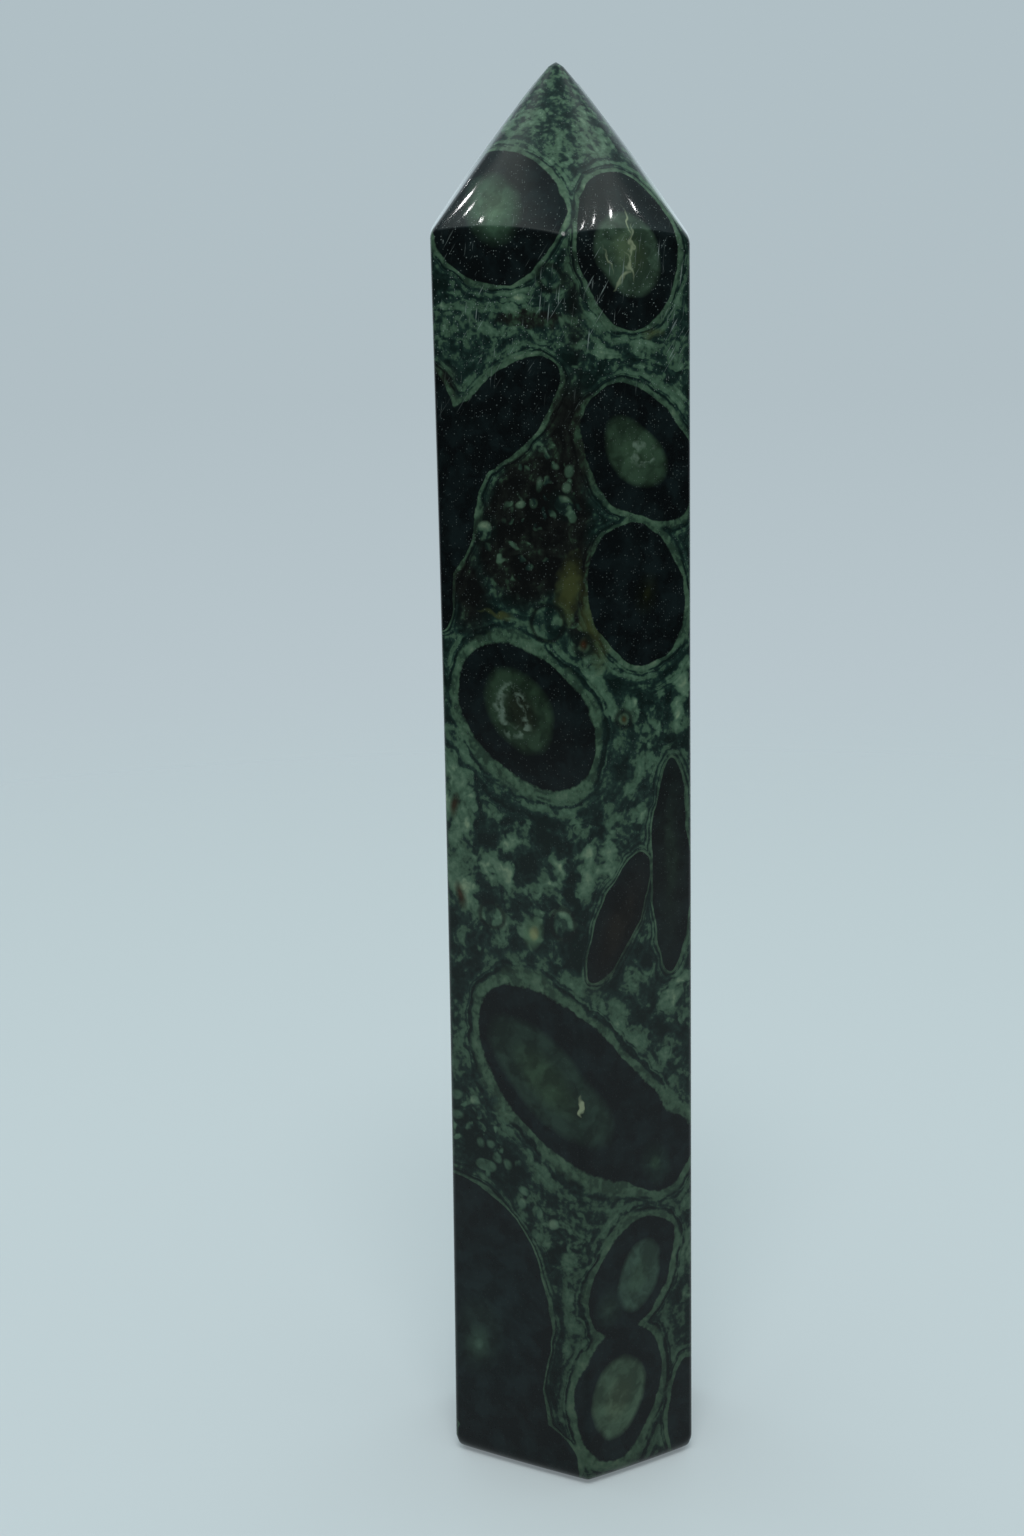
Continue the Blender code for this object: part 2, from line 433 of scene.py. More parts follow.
# Small round bodies of green in a dark ring.
FRONT_BEADS = [
    Blob(-0.5, 104.3, 0.8, 0.8, 0),
    Blob(0.3, 86.4, 0.9, 0.9, 0),
    Blob(-6.1, 84.3, 0.9, 1.1, 0),
    Blob(-6.5, 51.2, 1.1, 1.0, 0),
    Blob(-1.4, 76.8, 1.4, 1.4, 0),
    Blob(-0.6, 51.3, 1.0, 1.3, 0),
    Blob(1.7, 75.0, 0.6, 0.8, 0),
    Blob(4.9, 68.4, 0.6, 0.7, 0),
]
RIGHT_BEADS = [
    Blob(3.2, 90.8, 1.0, 1.1, 0),
    Blob(-6.6, 82.0, 1.2, 1.2, 0),
    Blob(-1.2, 56.4, 1.1, 1.0, 0),
    Blob(3.6, 34.6, 0.9, 1.1, 0),
    Blob(0.2, 9.8, 1.1, 1.1, 0),
]
LEFT_BEADS = [
    Blob(-0.8, 86.6, 1.0, 1.0, 0),
    Blob(3.0, 67.0, 1.0, 1.2, 0),
    Blob(1.8, 36.6, 1.2, 1.1, 0),
    Blob(-6.0, 34.2, 0.9, 0.9, 0),
]

# Stretches with small round spots of green.
FRONT_SPOTTED = [
    Blob(-1.4, 87.2, 3.4, 3.4, 0),
    Blob(-3.6, 83.0, 2.4, 2.6, 0),
    Blob(-8.0, 31.5, 3.6, 4.6, -20),
]

# Single small spots of paler green.
FRONT_DOTS = [
    Blob(0.6, 89.0, 0.4, 0.5, 0),
    Blob(0.5, 87.8, 0.4, 0.4, 0),
    Blob(-0.5, 89.3, 0.3, 0.3, 0),
    Blob(-1.6, 87.7, 0.3, 0.6, 0),
    Blob(-3.3, 86.3, 0.5, 0.3, 0),
    Blob(-2.1, 86.3, 0.4, 0.4, 0),
    Blob(-8.2, 34.0, 0.5, 0.5, 0),
    Blob(-9.8, 34.3, 0.6, 0.5, 0),
    Blob(-9.8, 32.6, 0.6, 0.5, 0),
    Blob(-8.1, 30.2, 0.4, 0.5, 0),
    Blob(-7.2, 30.2, 0.4, 0.4, 0),
    Blob(-6.7, 29.1, 0.5, 0.5, 0),
    Blob(-5.8, 28.8, 0.4, 0.5, 0),
    Blob(-7.8, 28.2, 1.0, 0.6, 0),
    Blob(-4.4, 26.9, 0.5, 0.4, 0),
    Blob(-4.6, 25.7, 0.4, 0.5, 0),
    Blob(-3.2, 25.2, 0.6, 0.6, 0),
    Blob(-1.7, 24.3, 0.5, 0.5, 0),
    Blob(-3.4, 23.1, 0.4, 0.5, 0),
]

# Rings of pale flecks in two cores.
FRONT_RINGS = [
    Blob(6.3, 90.1, 0.8, 0.8, 0),
    Blob(-4.5, 69.2, 1.1, 2.0, -10),
]

# Thin cracks of pale quartz: five in one core and one in another.
FRONT_CRACKS = [
    Blob(5.3, 108.3, 0.08, 0.9, -12),
    Blob(5.5, 106.4, 0.08, 1.4, 8),
    Blob(5.3, 104.8, 0.08, 0.7, -15),
    Blob(4.8, 103.9, 0.09, 0.8, 40),
    Blob(3.8, 105.4, 0.05, 0.7, -15),
    Blob(0.8, 35.4, 0.16, 0.8, 5),
]


def clear_selection():
    bpy.ops.object.select_all(action="DESELECT")


def corner_direction(index):
    angle = math.radians(-90 + 360 / SIDES * index)
    return Vector((math.cos(angle), math.sin(angle)))


def column_corner(index, level):
    """Plan of one corner of the column, from level 0 at the base to level 1 at the shoulder."""
    index %= SIDES
    shift = BASE_SHIFTS[index].lerp(SHOULDER_SHIFTS[index], level)
    radius = CORNER_RADIUS - WAISTS[index] * math.sin(math.pi * level)
    return corner_direction(index) * radius + shift


def cut_by_hand(point):
    """Where a point of the regular tower lies on the hand-cut stone."""
    level = min(point.z / SHOULDER_HEIGHT, 1.0)
    climb = max(point.z - SHOULDER_HEIGHT, 0.0) / (SHARP_HEIGHT - SHOULDER_HEIGHT)
    if climb > 0.999:
        return Vector((*TIP_SHIFT, SHARP_HEIGHT))
    plan = point.xy / (CORNER_RADIUS * (1 - climb))
    turn = math.degrees(math.atan2(plan.y, plan.x)) + 90
    side = int(turn % 360 // (360 / SIDES))
    start, end = corner_direction(side), corner_direction(side + 1)
    across = (plan - start).dot(end - start)
    outward = (start + end).normalized()
    swell = 4 * across * (1 - across)

    plan = column_corner(side, level).lerp(column_corner(side + 1, level), across)
    plan += outward * SIDE_SWELL * swell
    if climb:
        bow = 4 * climb * (1 - climb)
        plan = plan * (1 - climb) + TIP_SHIFT * climb
        plan += outward * POINT_SWELL * swell * bow
        arch = 1 - climb
    else:
        arch = max(0.0, 1 - (SHOULDER_HEIGHT - point.z) / ARCH_REACH) ** 2
    rise = SHOULDER_ARCH * swell * arch + SHOULDER_SLOPE * plan.x * level
    return Vector((plan.x, plan.y, point.z + rise))


def select_in_edit_mode(stone, kind, wanted):
    """Selects the edges or faces that pass a test, and nothing else."""
    bpy.ops.mesh.select_all(action="DESELECT")
    bpy.ops.mesh.select_mode(type=kind)
    mesh = bmesh.from_edit_mesh(stone.data)
    for element in mesh.faces if kind == "FACE" else mesh.edges:
        if wanted(element):
            element.select_set(True)
    mesh.select_flush_mode()
    bmesh.update_edit_mesh(stone.data)


def is_on_upright(edge):
    """True for the column's corner edges, and for the pieces that they are cut into."""
    low, high = sorted(vert.co.z for vert in edge.verts)
    return high - low > MM / 10 and high < SHOULDER_HEIGHT + MM


def rough_out():
    """A regular six-sided column with a six-faced point, its faces divided into a fine grid."""
    clear_selection()
    bpy.ops.mesh.primitive_cylinder_add(
        vertices=SIDES,
        radius=CORNER_RADIUS,
        depth=SHOULDER_HEIGHT,
        location=(0, 0, SHOULDER_HEIGHT / 2),
    )
    stone = bpy.context.object
    stone.name = stone.data.name = "polished_stone"
    bpy.ops.object.transform_apply(location=True, rotation=True, scale=True)

    bpy.ops.object.mode_set(mode="EDIT")
    top = SHOULDER_HEIGHT - MM
    select_in_edit_mode(stone, "FACE", lambda face: face.calc_center_median().z > top)
    rise = (0, 0, SHARP_HEIGHT - SHOULDER_HEIGHT)
    bpy.ops.mesh.extrude_region_move(TRANSFORM_OT_translate={"value": rise})
    bpy.ops.mesh.merge(type="CENTER")
    select_in_edit_mode(stone, "EDGE", is_on_upright)
    bpy.ops.mesh.subdivide(number_cuts=RINGS)
    select_in_edit_mode(stone, "EDGE", lambda edge: not is_on_upright(edge))
    bpy.ops.mesh.subdivide(number_cuts=CUTS_ACROSS)
    bpy.ops.object.mode_set(mode="OBJECT")
    return stone


def apply_modifier(stone, name, kind, **settings):
    modifier = stone.modifiers.new(name, kind)
    for setting, value in settings.items():
        setattr(modifier, setting, value)
    bpy.ops.object.modifier_apply(modifier=modifier.name)


def mark_sharp_edges(stone):
    """Weights for the rounding: full round the base, less on the corners, shoulder and ridges."""
    mesh = bmesh.new()
    mesh.from_mesh(stone.data)
    weights = mesh.edges.layers.float.new("bevel_weight_edge")
    for edge in mesh.edges:
        if edge.calc_face_angle() < SHARP_ANGLE:
            continue
        at_base = max(vert.co.z for vert in edge.verts) < MM / 10
        edge[weights] = 1.0 if at_base else EDGE_ROUND_SHARE
    mesh.to_mesh(stone.data)
    mesh.free()


def fit_into(stone, box):
    """Fits the stone's outline to its solid's box, from which it differs by 0.15 mm at most."""
    corners = [vert.co for vert in stone.data.vertices]
    low = Vector([min(co[axis] for co in corners) for axis in range(3)])
    high = Vector([max(co[axis] for co in corners) for axis in range(3)])
    scale = [(box[1] - box[0])[axis] / (high - low)[axis] for axis in range(3)]
    to_middle = Matrix.Translation((box[0] + box[1]) / 2)
    from_middle = Matrix.Translation(-(low + high) / 2)
    stone.data.transform(to_middle @ Matrix.Diagonal(scale).to_4x4() @ from_middle)


def make_stone():
    box = [Vector(corner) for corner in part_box("tower")]
    stone = rough_out()
    for vert in stone.data.vertices:
        vert.co = cut_by_hand(vert.co)
    mark_sharp_edges(stone)
    apply_modifier(
        stone,
        "polished_edges",
        "BEVEL",
        limit_method="WEIGHT",
        width=BASE_ROUND,
        segments=ROUND_STEPS,
    )
    fit_into(stone, box)
    bpy.ops.object.shade_smooth()
    apply_modifier(stone, "flat_faces", "WEIGHTED_NORMAL")
    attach(stone, "root")
    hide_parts("tower")
    return stone


def depth_at(x, z):
    """How far in front of the axis the faces beside a corner lie, at a place across and up."""
    climb = max(z * MM - SHOULDER_HEIGHT, 0.0) / (SHARP_HEIGHT - SHOULDER_HEIGHT)
    return CORNER_RADIUS / MM * (1 - climb) - abs(x) * math.tan(math.pi / SIDES)


def srgb(code):
    """A linear colour from an sRGB hex code."""
    values = [int(code[i : i + 2], 16) / 255 for i in (1, 3, 5)]
    linear = [v / 12.92 if v <= 0.04045 else ((v + 0.055) / 1.055) ** 2.4 for v in values]
    return (*linear, 1.0)


def empty_tree(owner):
    """The node tree of a new material or world, with nothing in it."""
    owner.use_nodes = True
    owner.node_tree.nodes.clear()
    return owner.node_tree


def add(tree, kind, inputs=(), output=None, stops=(), **settings):
    """Adds a node with its settings and links, and returns one of its outputs.

    The inputs are a list from the node's first one on, or a dict by name. Each is a value, a hex
    code or another node's output. The stops are a colour ramp's.
    """
    node = tree.nodes.new("ShaderNode" + kind)
    for name, value in settings.items():
        setattr(node, name, value)
    sockets = [socket for socket in node.inputs if socket.enabled]
    if isinstance(inputs, dict):
        sockets = [next(socket for socket in sockets if socket.name == name) for name in inputs]
        inputs = inputs.values()
    for socket, value in zip(sockets, inputs):
        if isinstance(value, bpy.types.NodeSocket):
            tree.links.new(value, socket)
        else:
            socket.default_value = srgb(value) if isinstance(value, str) else value
    for index, (position, code) in enumerate(stops):
        elements = node.color_ramp.elements
        stop = elements[index] if index < 2 else elements.new(position)
        stop.position, stop.color = position, srgb(code)
    if output:
        return node.outputs[output]
    return next((socket for socket in node.outputs if socket.enabled), None)


def wander(tree, place, size, amount, detail=0.0):
    """Moves the pattern to and fro by an amount, in patches of a size, both in mm."""
    inputs = {"Vector": place, "Scale": 1 / size, "Detail": detail}
    drift = add(tree, "TexNoise", inputs, output="Color")
    offset = add(tree, "VectorMath", [drift, (0.5, 0.5, 0.5)], operation="SUBTRACT")
    reach = (2 * amount, 2 * amount, 2 * amount)
    return add(tree, "VectorMath", [offset, reach, place], operation="MULTIPLY_ADD")


def scattered(tree, place, spacing):
    """How far the nearest of many scattered points is, in spacings, and a chance for each point."""
    inputs = {"Vector": place, "Scale": 1 / spacing}
    distance = add(tree, "TexVoronoi", inputs, output="Distance")
    chance = add(tree, "SeparateXYZ", [distance.node.outputs["Color"]], output="X")
    return distance, chance


def facings(tree, place):
    """The place as it lies once the column is turned, for each corner that has lists of its own."""
    for turn in TURNS:
        inputs = {"Vector": place, "Angle": -math.radians(turn)}
        yield add(tree, "VectorRotate", inputs, rotation_type="Z_AXIS") if turn else place


def distances(tree, place, blobs):
    """The distance of a place from each blob in mm, roughly, negative inside it.

    From an orb it is counted in rims, and more exactly, so that a rim is as wide all round it.
    """
    leaning = {0: place}
    for blob in blobs:
        if blob.lean not in leaning:
            inputs = {"Vector": place, "Angle": -math.radians(blob.lean)}
            leaning[blob.lean] = add(tree, "VectorRotate", inputs, rotation_type="Y_AXIS")
        upright = Matrix.Rotation(-math.radians(blob.lean), 3, "Y")
        middle = upright @ Vector((blob.x, -depth_at(blob.x, blob.z), blob.z))
        halves = (blob.half_width, DEPTH_LEAST + DEPTH_SHARE * blob.half_width, blob.half_height)
        scale = [1 / half for half in halves]
        shift = [-co / half for co, half in zip(middle, halves)]
        inputs = [leaning[blob.lean], scale, shift]
        rounded = add(tree, "VectorMath", inputs, operation="MULTIPLY_ADD")
        length = add(tree, "VectorMath", [rounded], operation="LENGTH")
        if isinstance(blob, Orb):
            steep = [blob.rim / half for half in halves]
            steep = add(tree, "VectorMath", [rounded, steep], operation="MULTIPLY")
            steep = add(tree, "VectorMath", [steep], operation="LENGTH")
            step = add(tree, "Math", [length, steep], operation="DIVIDE")
            beyond = add(tree, "Math", [length, 1.0], operation="SUBTRACT")
            yield add(tree, "Math", [beyond, step], operation="MULTIPLY")
        else:
            inputs = [length, blob.half_width, -blob.half_width]
            yield add(tree, "Math", inputs, operation="MULTIPLY_ADD")


def nearest(tree, place, lists, soft=0.0):
    """The distance from the nearest of the blobs that are listed for each turn of the column."""
    found = None
    for blobs, turned in zip(lists, facings(tree, place)):
        for distance in distances(tree, turned, blobs):
            if found is None:
                found = distance
            elif soft:
                found = add(tree, "Math", [found, distance, soft], operation="SMOOTH_MIN")
            else:
                found = add(tree, "Math", [found, distance], operation="MINIMUM")
    return found


def make_fields(tree):
    """The fields that the pattern is built from."""
    where = add(tree, "TexCoord", output="Object")
    place = add(tree, "VectorMath", [where, 1 / MM], operation="SCALE")
    bent = wander(tree, wander(tree, place, *SWAY), *BEND, detail=1.0)
    frayed = wander(tree, bent, *FRAY, detail=1.0)
    slow = add(tree, "TexNoise", {"Vector": place, "Scale": 1 / SLOW_SIZE})
    inputs = {"Vector": frayed, "Scale": 1 / MOTTLE_SIZE, "Detail": 2.7, "Roughness": 0.56}
    mottle = add(tree, "TexNoise", inputs)
    inputs = {"Vector": bent, "Scale": 1 / FINE_SIZE, "Detail": 2.0, "Roughness": 0.6}
    fine = add(tree, "TexNoise", inputs)

    # The rims, and with them the bands, are wider on some orbs than on others.
    orbs = nearest(tree, bent, [FRONT_ORBS, RIGHT_ORBS, LEFT_ORBS], soft=1.0)
    width = add(tree, "MapRange", [slow, 0.35, 0.65, 0.5, 1.6])
    orbs = add(tree, "Math", [orbs, width], operation="DIVIDE")
    along = add(tree, "Math", [slow, 4.0], operation="MULTIPLY")
    along = add(tree, "Math", [orbs, 0.8, along], operation="MULTIPLY_ADD")
    along = add(tree, "Math", [mottle, 0.7, along], operation="MULTIPLY_ADD")
    inputs = {"W": along, "Scale": 1.1, "Detail": 2.0}
    return Fields(
        place=place,
        height=add(tree, "SeparateXYZ", [place], output="Z"),
        bent=bent,
        frayed=frayed,
        slow=slow,
        mottle=mottle,
        fine=fine,
        grain=add(tree, "TexNoise", {"Vector": place, "Scale": 1 / GRAIN_SIZE}),
        orbs=orbs,
        bands=add(tree, "TexNoise", inputs, noise_dimensions="1D"),
        spots=round_spots(tree, frayed),
    )


def round_spots(tree, place):
    """Rounded spots of many sizes, up to a millimetre: 1 in a spot, 0 between them."""
    distance, chance = scattered(tree, place, SPOT_SPACING)
    radius = add(tree, "MapRange", [chance, 0.0, 1.0, 0.08, 0.34])
    within = add(tree, "Math", [radius, distance], operation="SUBTRACT")
    return add(tree, "MapRange", [within, -0.08, 0.08])


def greenness(tree, fields, rims):
    """How green the rock between the orbs is at each place, from 0.3, dark, to 0.8, pale green."""
    green = nearest(tree, fields.frayed, [FRONT_GREENS, RIGHT_GREENS, LEFT_GREENS])
    green = add(tree, "MapRange", [green, -0.25, 0.30, 1.0, 0.0])
    mottled = nearest(tree, fields.frayed, [FRONT_MOTTLED])
    mottled = add(tree, "MapRange", [mottled, -0.8, 0.8, 1.0, 0.0])
    dark = nearest(tree, fields.frayed, [FRONT_DARKS])
    dark = add(tree, "MapRange", [dark, -0.6, 0.8, 1.0, 0.0])

    # Uneven patches, finer and more alike where the rock is mottled.
    coarse = add(tree, "Math", [fields.mottle, 0.8, 0.086], operation="MULTIPLY_ADD")
    fine = add(tree, "Math", [fields.fine, 0.9, 0.056], operation="MULTIPLY_ADD")
    value = add(tree, "Mix", [mottled, coarse, fine])
    value = add(tree, "Math", [green, 0.105, value], operation="MULTIPLY_ADD")
    alike = add(tree, "Math", [mottled, 0.5], operation="MULTIPLY")
    value = add(tree, "Mix", [alike, value, 0.55])
    spots = add(tree, "Math", [fields.spots, 0.45], operation="SUBTRACT")
    value = add(tree, "Math", [spots, 0.08, value], operation="MULTIPLY_ADD")

    # Thin bands that run along the outlines of the orbs.
    bands = add(tree, "MapRange", [fields.bands, 0.35, 0.65, 0.38, 0.62])
    banded = add(tree, "MapRange", [rims, 1.0, 7.0, 0.72, 0.0])
    value = add(tree, "Mix", [banded, value, bands])
    value = add(tree, "Math", [dark, -0.06, value], operation="MULTIPLY_ADD")
    return with_rims(tree, value, green, fields, rims)


def with_rims(tree, value, green, fields, rims):
    """The greenness with each orb's rim, and a broken dark line round it."""
    starts = add(tree, "MapRange", [rims, 1.0, 1.2])
    ends = add(tree, "MapRange", [rims, 1.9, 1.5])
    line = add(tree, "Math", [starts, ends], operation="MULTIPLY")
    broken = add(tree, "MapRange", [fields.fine, 0.42, 0.58, 1.0, 0.1])
    line = add(tree, "Math", [line, broken], operation="MULTIPLY")
    value = add(tree, "Math", [line, -0.07, value], operation="MULTIPLY_ADD")

    rim = add(tree, "Math", [fields.fine, 0.40, 0.16], operation="MULTIPLY_ADD")
    rim = add(tree, "Math", [fields.mottle, 0.38, rim], operation="MULTIPLY_ADD")
    rim = add(tree, "Math", [green, 0.06, rim], operation="MULTIPLY_ADD")
    whole = add(tree, "MapRange", [fields.mottle, 0.34, 0.50, 0.5, 0.95])
    within = add(tree, "MapRange", [rims, 0.7, 1.3, 1.0, 0.0])
    share = add(tree, "Math", [whole, within], operation="MULTIPLY")
    return add(tree, "Mix", [share, value, rim])


def paint_rock(tree, fields, green, rims):
    """The rock between the orbs, olive along their rims and stained here and there.

    It darkens towards the floor, partly with painted shade and partly by its own tone.
    """
    colour = add(tree, "ValToRGB", [green], stops=GREENS)
    # Painted shade in part: the greens darken towards the floor, where less light reaches the
    # column; the rest is the rock's own darker tone low down.
    light = add(tree, "MapRange", [fields.height, *SHADE_AND_TONE_LIFT_UP, 0.45, 1.0])
    colour = add(tree, "VectorMath", [colour, light], operation="SCALE")
    olive = add(tree, "MapRange", [rims, 1.2, 0.8, 0.0, 0.4])
    colour = add(tree, "Mix", [olive, colour, OLIVE_RIM], data_type="RGBA")

    stains = nearest(tree, fields.frayed, [FRONT_STAINS])
    stains = add(tree, "MapRange", [stains, 0.6, -0.6, 0.0, 0.85])
    stained = add(tree, "ValToRGB", [green], stops=STAINED)
    colour = add(tree, "Mix", [stains, colour, stained], data_type="RGBA")
    ochres = nearest(tree, fields.frayed, [FRONT_OCHRES])
    ochres = add(tree, "Math", [fields.mottle, -1.6, ochres], operation="MULTIPLY_ADD")
    ochres = add(tree, "MapRange", [ochres, -0.6, -1.6, 0.0, 0.8])
    return add(tree, "Mix", [ochres, colour, OCHRE], data_type="RGBA")


def paint_beads(tree, colour, fields):
    """Small round bodies of green, each in a dark ring."""
    beads = nearest(tree, fields.bent, [FRONT_BEADS, RIGHT_BEADS, LEFT_BEADS])
    ends = add(tree, "MapRange", [beads, 0.45, 0.15])
    starts = add(tree, "MapRange", [beads, -0.25, 0.0])
    ring = add(tree, "Math", [ends, starts], operation="MULTIPLY")
    ring = add(tree, "Math", [ring, 0.8], operation="MULTIPLY")
    colour = add(tree, "Mix", [ring, colour, BEAD_RING], data_type="RGBA")
    green = add(tree, "Math", [fields.mottle, 1.15, -0.08], operation="MULTIPLY_ADD")
    green = add(tree, "ValToRGB", [green], stops=GREENS)
    within = add(tree, "MapRange", [beads, -0.05, -0.25, 0.0, 0.7])
    return add(tree, "Mix", [within, colour, green], data_type="RGBA")


def paint_spots(tree, colour, fields):
    """Small spots of paler green: single ones, and many in a few stretches."""
    green = add(tree, "Math", [fields.mottle, 0.54, 0.30], operation="MULTIPLY_ADD")
    green = add(tree, "ValToRGB", [green], stops=GREENS)
    dots = nearest(tree, fields.bent, [FRONT_DOTS])
    dots = add(tree, "MapRange", [dots, 0.05, -0.15, 0.0, 0.6])
    colour = add(tree, "Mix", [dots, colour, green], data_type="RGBA")

    green = add(tree, "Math", [fields.mottle, 0.66, 0.19], operation="MULTIPLY_ADD")
    green = add(tree, "ValToRGB", [green], stops=GREENS)
    spotted = nearest(tree, fields.bent, [FRONT_SPOTTED])
    spotted = add(tree, "MapRange", [spotted, 0.5, -0.5, 0.0, 0.75])
    spots = add(tree, "Math", [fields.spots, spotted], operation="MULTIPLY")
    return add(tree, "Mix", [spots, colour, green], data_type="RGBA")


def paint_cores(tree, colour, fields):
    """Green or olive cores, each with a middle of its own colour."""
    shade = add(tree, "MapRange", [fields.mottle, 0.38, 0.62, 0.6, 1.4])
    lists = [FRONT_CORES, RIGHT_CORES, LEFT_CORES]
    for cores, turned in zip(lists, facings(tree, fields.bent)):
        for core, distance in zip(cores, distances(tree, turned, cores)):
            inputs = [distance, -0.35 * core.half_width, -0.7 * core.half_width]
            inner = add(tree, "MapRange", inputs)
            tint = add(tree, "Mix", [inner, core.edge, core.middle], data_type="RGBA")
            tint = add(tree, "VectorMath", [tint, shade], operation="SCALE")
            within = add(tree, "MapRange", [distance, core.soft, -core.soft])
            colour = add(tree, "Mix", [within, colour, tint], data_type="RGBA")
    return colour


def paint_orbs(tree, colour, fields, inside):
    """The orbs in faintly mottled black, their cores, and the pale flecks and cracks in those."""
    patches = add(tree, "MapRange", [fields.mottle, 0.42, 0.66])
    black = add(tree, "Mix", [patches, BLACK, BLACK_PATCH], data_type="RGBA")
    colour = add(tree, "Mix", [inside, colour, black], data_type="RGBA")
    colour = paint_cores(tree, colour, fields)

    rings = nearest(tree, fields.frayed, [FRONT_RINGS])
    rings = add(tree, "Math", [rings], operation="ABSOLUTE")
    rings = add(tree, "MapRange", [rings, 0.45, 0.1])
    flecks = add(tree, "MapRange", [fields.fine, 0.46, 0.60, 0.0, 0.5])
    flecks = add(tree, "Math", [rings, flecks], operation="MULTIPLY")
    colour = add(tree, "Mix", [flecks, colour, PALE_FLECK], data_type="RGBA")
    cracks = nearest(tree, fields.frayed, [FRONT_CRACKS])
    cracks = add(tree, "MapRange", [cracks, 0.05, -0.05, 0.0, 0.8])
    return add(tree, "Mix", [cracks, colour, QUARTZ], data_type="RGBA")


def pinpricks(tree, place):
    """Tiny pale pinpricks, round half of many scattered points."""
    distance, chance = scattered(tree, place, PINPRICK_SPACING)
    reach = PINPRICK_RADIUS / PINPRICK_SPACING
    radius = add(tree, "MapRange", [chance, 0.5, 1.0, 0.0, reach])
    within = add(tree, "Math", [radius, distance], operation="SUBTRACT")
    return add(tree, "MapRange", [within, 0.0, 0.06])


def scratches(tree, place, lean):
    """Fine short scratches, all leaning alike, that fade out at their ends."""
    inputs = {"Vector": place, "Angle": -math.radians(lean)}
    turned = add(tree, "VectorRotate", inputs, rotation_type="Y_AXIS")
    fineness = [1 / size for size in SCRATCH_SIZE]
    drawn = add(tree, "VectorMath", [turned, fineness], operation="MULTIPLY")
    lines = add(tree, "TexNoise", {"Vector": drawn, "Scale": 1.0, "Detail": 1.0})
    return add(tree, "MapRange", [lines, 0.685, 0.76])


def wear(tree, fields):
    """Fine scratches and pinpricks in the polish, most of them near the shoulder."""
    from_below = add(tree, "MapRange", [fields.height, *WORN_FROM_BELOW])
    from_above = add(tree, "MapRange", [fields.height, *WORN_FROM_ABOVE])
    shoulder = add(tree, "Math", [from_below, from_above], operation="MULTIPLY")
    patches = add(tree, "MapRange", [fields.slow, 0.44, 0.60])
    patches = add(tree, "Math", [patches, shoulder], operation="MULTIPLY")
    lines = [scratches(tree, fields.place, lean) for lean in SCRATCH_LEANS]
    lines = add(tree, "Math", lines, operation="MAXIMUM")
    lines = add(tree, "Math", [lines, patches], operation="MULTIPLY")
    dusty = add(tree, "MapRange", [fields.height, *DUSTIER_UP, 0.05, 0.28])
    dusty = add(tree, "Math", [shoulder, 0.45, dusty], operation="MULTIPLY_ADD")
    dust = add(tree, "Math", [pinpricks(tree, fields.place), dusty], operation="MULTIPLY")
    return add(tree, "Math", [lines, dust], operation="MAXIMUM")


def roughness(tree, fields, green, inside, worn):
    """Least on the black, more on the green and the point, and most where the polish is worn."""
    rough = add(tree, "MapRange", [green, 0.45, 0.60, 0.06, 0.13])
    duller = add(tree, "MapRange", [fields.height, *DULLER_UP])
    rough = add(tree, "Math", [duller, 0.14, rough], operation="MULTIPLY_ADD")
    rough = add(tree, "Mix", [inside, rough, 0.05])
    return add(tree, "Mix", [worn, rough, 0.35])


def make_jasper():
    """Kambaba jasper, a dense silica rock, ground and polished to a wet gloss.

    The black orbs and their green rims lie under that gloss: nothing of the pattern is raised. The
    gloss is keenest on the black, softer on the green and the point, and dull where it is worn.
    """
    material = bpy.data.materials.new("polished_kambaba_jasper")
    tree = empty_tree(material)
    fields = make_fields(tree)

    # How far the nearest orb is, made ragged for the rims, and where the black of an orb is.
    rims = add(tree, "Math", [fields.orbs, 0.6], operation="SUBTRACT")
    rims = add(tree, "Math", [fields.fine, 1.2, rims], operation="MULTIPLY_ADD")
    inside = add(tree, "Math", [fields.grain, 0.35, fields.orbs], operation="MULTIPLY_ADD")
    inside = add(tree, "MapRange", [inside, 0.26, 0.08])
    grain = add(tree, "Math", [fields.grain, 0.5], operation="SUBTRACT")
    green = greenness(tree, fields, rims)
    green = add(tree, "Math", [grain, 0.17, green], operation="MULTIPLY_ADD")
    worn = wear(tree, fields)

    colour = paint_rock(tree, fields, green, rims)
    colour = paint_beads(tree, colour, fields)
    colour = paint_spots(tree, colour, fields)
    colour = paint_orbs(tree, colour, fields, inside)
    paler = add(tree, "Math", [worn, 0.7], operation="MULTIPLY")
    polish = {
        "Base Color": add(tree, "Mix", [paler, colour, WORN_POLISH], data_type="RGBA"),
        "Roughness": roughness(tree, fields, green, inside, worn),
        "IOR": SILICA_IOR,
        "Specular IOR Level": MIRRORING,
        "Coat Weight": HAZE,
        "Coat Roughness": HAZE_ROUGHNESS,
    }
    add(tree, "OutputMaterial", {"Surface": add(tree, "BsdfPrincipled", polish)})
    return material


def make_camera():
    """The camera that took the photograph: its frame is upright, so the sensor spans its height."""
    data = bpy.data.cameras.new("camera")
    data.sensor_width = 36
    data.lens = data.sensor_width * FOCAL_PX / FRAME_HEIGHT_PX
    data.clip_start, data.clip_end = 10 * MM, 10
    camera = bpy.data.objects.new("camera", data)
    bpy.context.collection.objects.link(camera)

    level = Vector((math.cos(CAMERA_YAW), -math.sin(CAMERA_YAW), 0.0))
    ahead = Vector((math.sin(CAMERA_YAW), math.cos(CAMERA_YAW), 0.0)) * math.cos(CAMERA_PITCH)
    ahead.z = -math.sin(CAMERA_PITCH)
    roll = Matrix.Rotation(-CAMERA_ROLL, 3, ahead)
    turn = Matrix((roll @ level, roll @ level.cross(ahead), -ahead)).transposed()
    camera.matrix_world = Matrix.Translation(CAMERA_PLACE) @ turn.to_4x4()
    bpy.context.scene.camera = camera


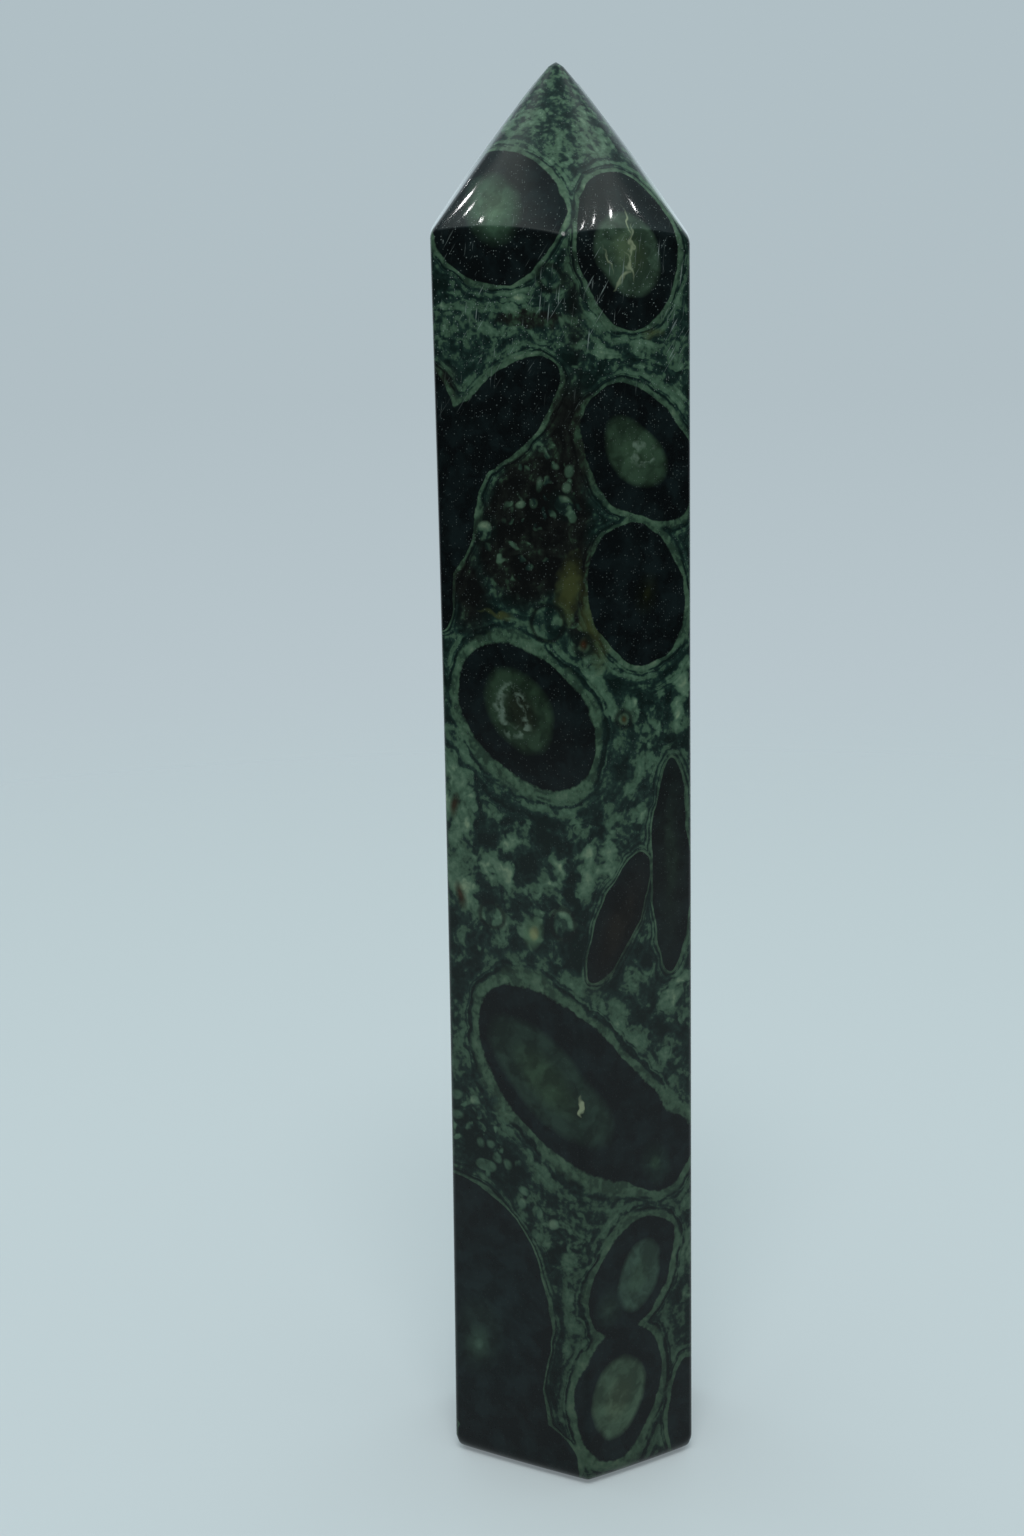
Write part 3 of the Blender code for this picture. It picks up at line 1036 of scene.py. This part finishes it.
def make_lamp(name, place, size, strength, stretch=1.0):
    """A round or stretched lamp that shines at the stone, and that the camera doesn't see."""
    data = bpy.data.lights.new(name, "AREA")
    data.shape = "ELLIPSE"
    data.size, data.size_y = size * stretch, size / stretch
    face = math.pi * size * size / 4
    data.energy = strength * math.pi * face
    lamp = bpy.data.objects.new(name, data)
    bpy.context.collection.objects.link(lamp)
    lamp.location = place
    lamp.rotation_euler = (place - STONE_MIDDLE).to_track_quat("Z", "Y").to_euler()
    lamp.visible_camera = False


def make_lamps():
    """A soft lamp above the front, and small bare ones that glint in the faces of the point."""
    make_lamp("soft_lamp", SOFT_LAMP_PLACE, SOFT_LAMP_SIZE, SOFT_LAMP_STRENGTH)
    for number, (place, size) in enumerate(GLINTS, 1):
        make_lamp(f"glint_lamp_{number}", place * MM, size * MM, GLINT_STRENGTH, GLINT_STRETCH)


def make_paper():
    """Matt pale paper, softly lit all over, that turns clear towards its rim."""
    material = bpy.data.materials.new("matt_pale_paper")
    tree = empty_tree(material)
    matt = add(tree, "BsdfDiffuse", {"Color": PAPER})
    glow = add(tree, "Emission", {"Color": PAPER_GLOW})
    lit = add(tree, "AddShader", [matt, glow])
    where = add(tree, "TexCoord", output="Object")
    from_middle = add(tree, "VectorMath", [where], operation="LENGTH")
    inputs = [from_middle, FLOOR_FADE, FLOOR_END]
    fade = add(tree, "MapRange", inputs, interpolation_type="SMOOTHSTEP")
    clear = add(tree, "BsdfTransparent")
    add(tree, "OutputMaterial", {"Surface": add(tree, "MixShader", [fade, lit, clear])})
    return material


def make_floor():
    """A round sheet of pale paper that fades out before its rim, so that no edge shows."""
    clear_selection()
    bpy.ops.mesh.primitive_circle_add(vertices=96, radius=FLOOR_END, fill_type="NGON")
    floor = bpy.context.object
    floor.name = floor.data.name = "pale_floor"
    floor.location.z = -FLOOR_GAP
    floor.data.materials.append(make_paper())


def make_world():
    """A pale backdrop behind the stone, and a dim room with a bright ceiling for the gloss."""
    world = bpy.data.worlds.new("pale_studio")
    tree = empty_tree(world)
    direction = add(tree, "TexCoord", output="Generated")
    height = add(tree, "SeparateXYZ", [direction], output="Z")
    depth = add(tree, "SeparateXYZ", [direction], output="Y")
    backdrop = add(tree, "MapRange", [height, -0.5, 0.5])
    backdrop = add(tree, "ValToRGB", [backdrop], stops=BACKDROP)
    room = add(tree, "ValToRGB", [height], stops=ROOM)
    behind = add(tree, "MapRange", [depth, 0.30, 0.65])
    room = add(tree, "Mix", [behind, room, backdrop], data_type="RGBA")
    seen = add(tree, "LightPath", output="Is Camera Ray")
    colour = add(tree, "Mix", [seen, room, backdrop], data_type="RGBA")
    strength = add(tree, "MapRange", [seen, 0.0, 1.0, ROOM_STRENGTH, 1.0])
    light = add(tree, "Background", {"Color": colour, "Strength": strength})
    add(tree, "OutputWorld", {"Surface": light})
    bpy.context.scene.world = world


def main():
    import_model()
    bpy.context.scene.view_settings.view_transform = "Standard"
    stone = make_stone()
    stone.data.materials.clear()
    stone.data.materials.append(make_jasper())
    make_camera()
    make_floor()
    make_world()
    make_lamps()


main()
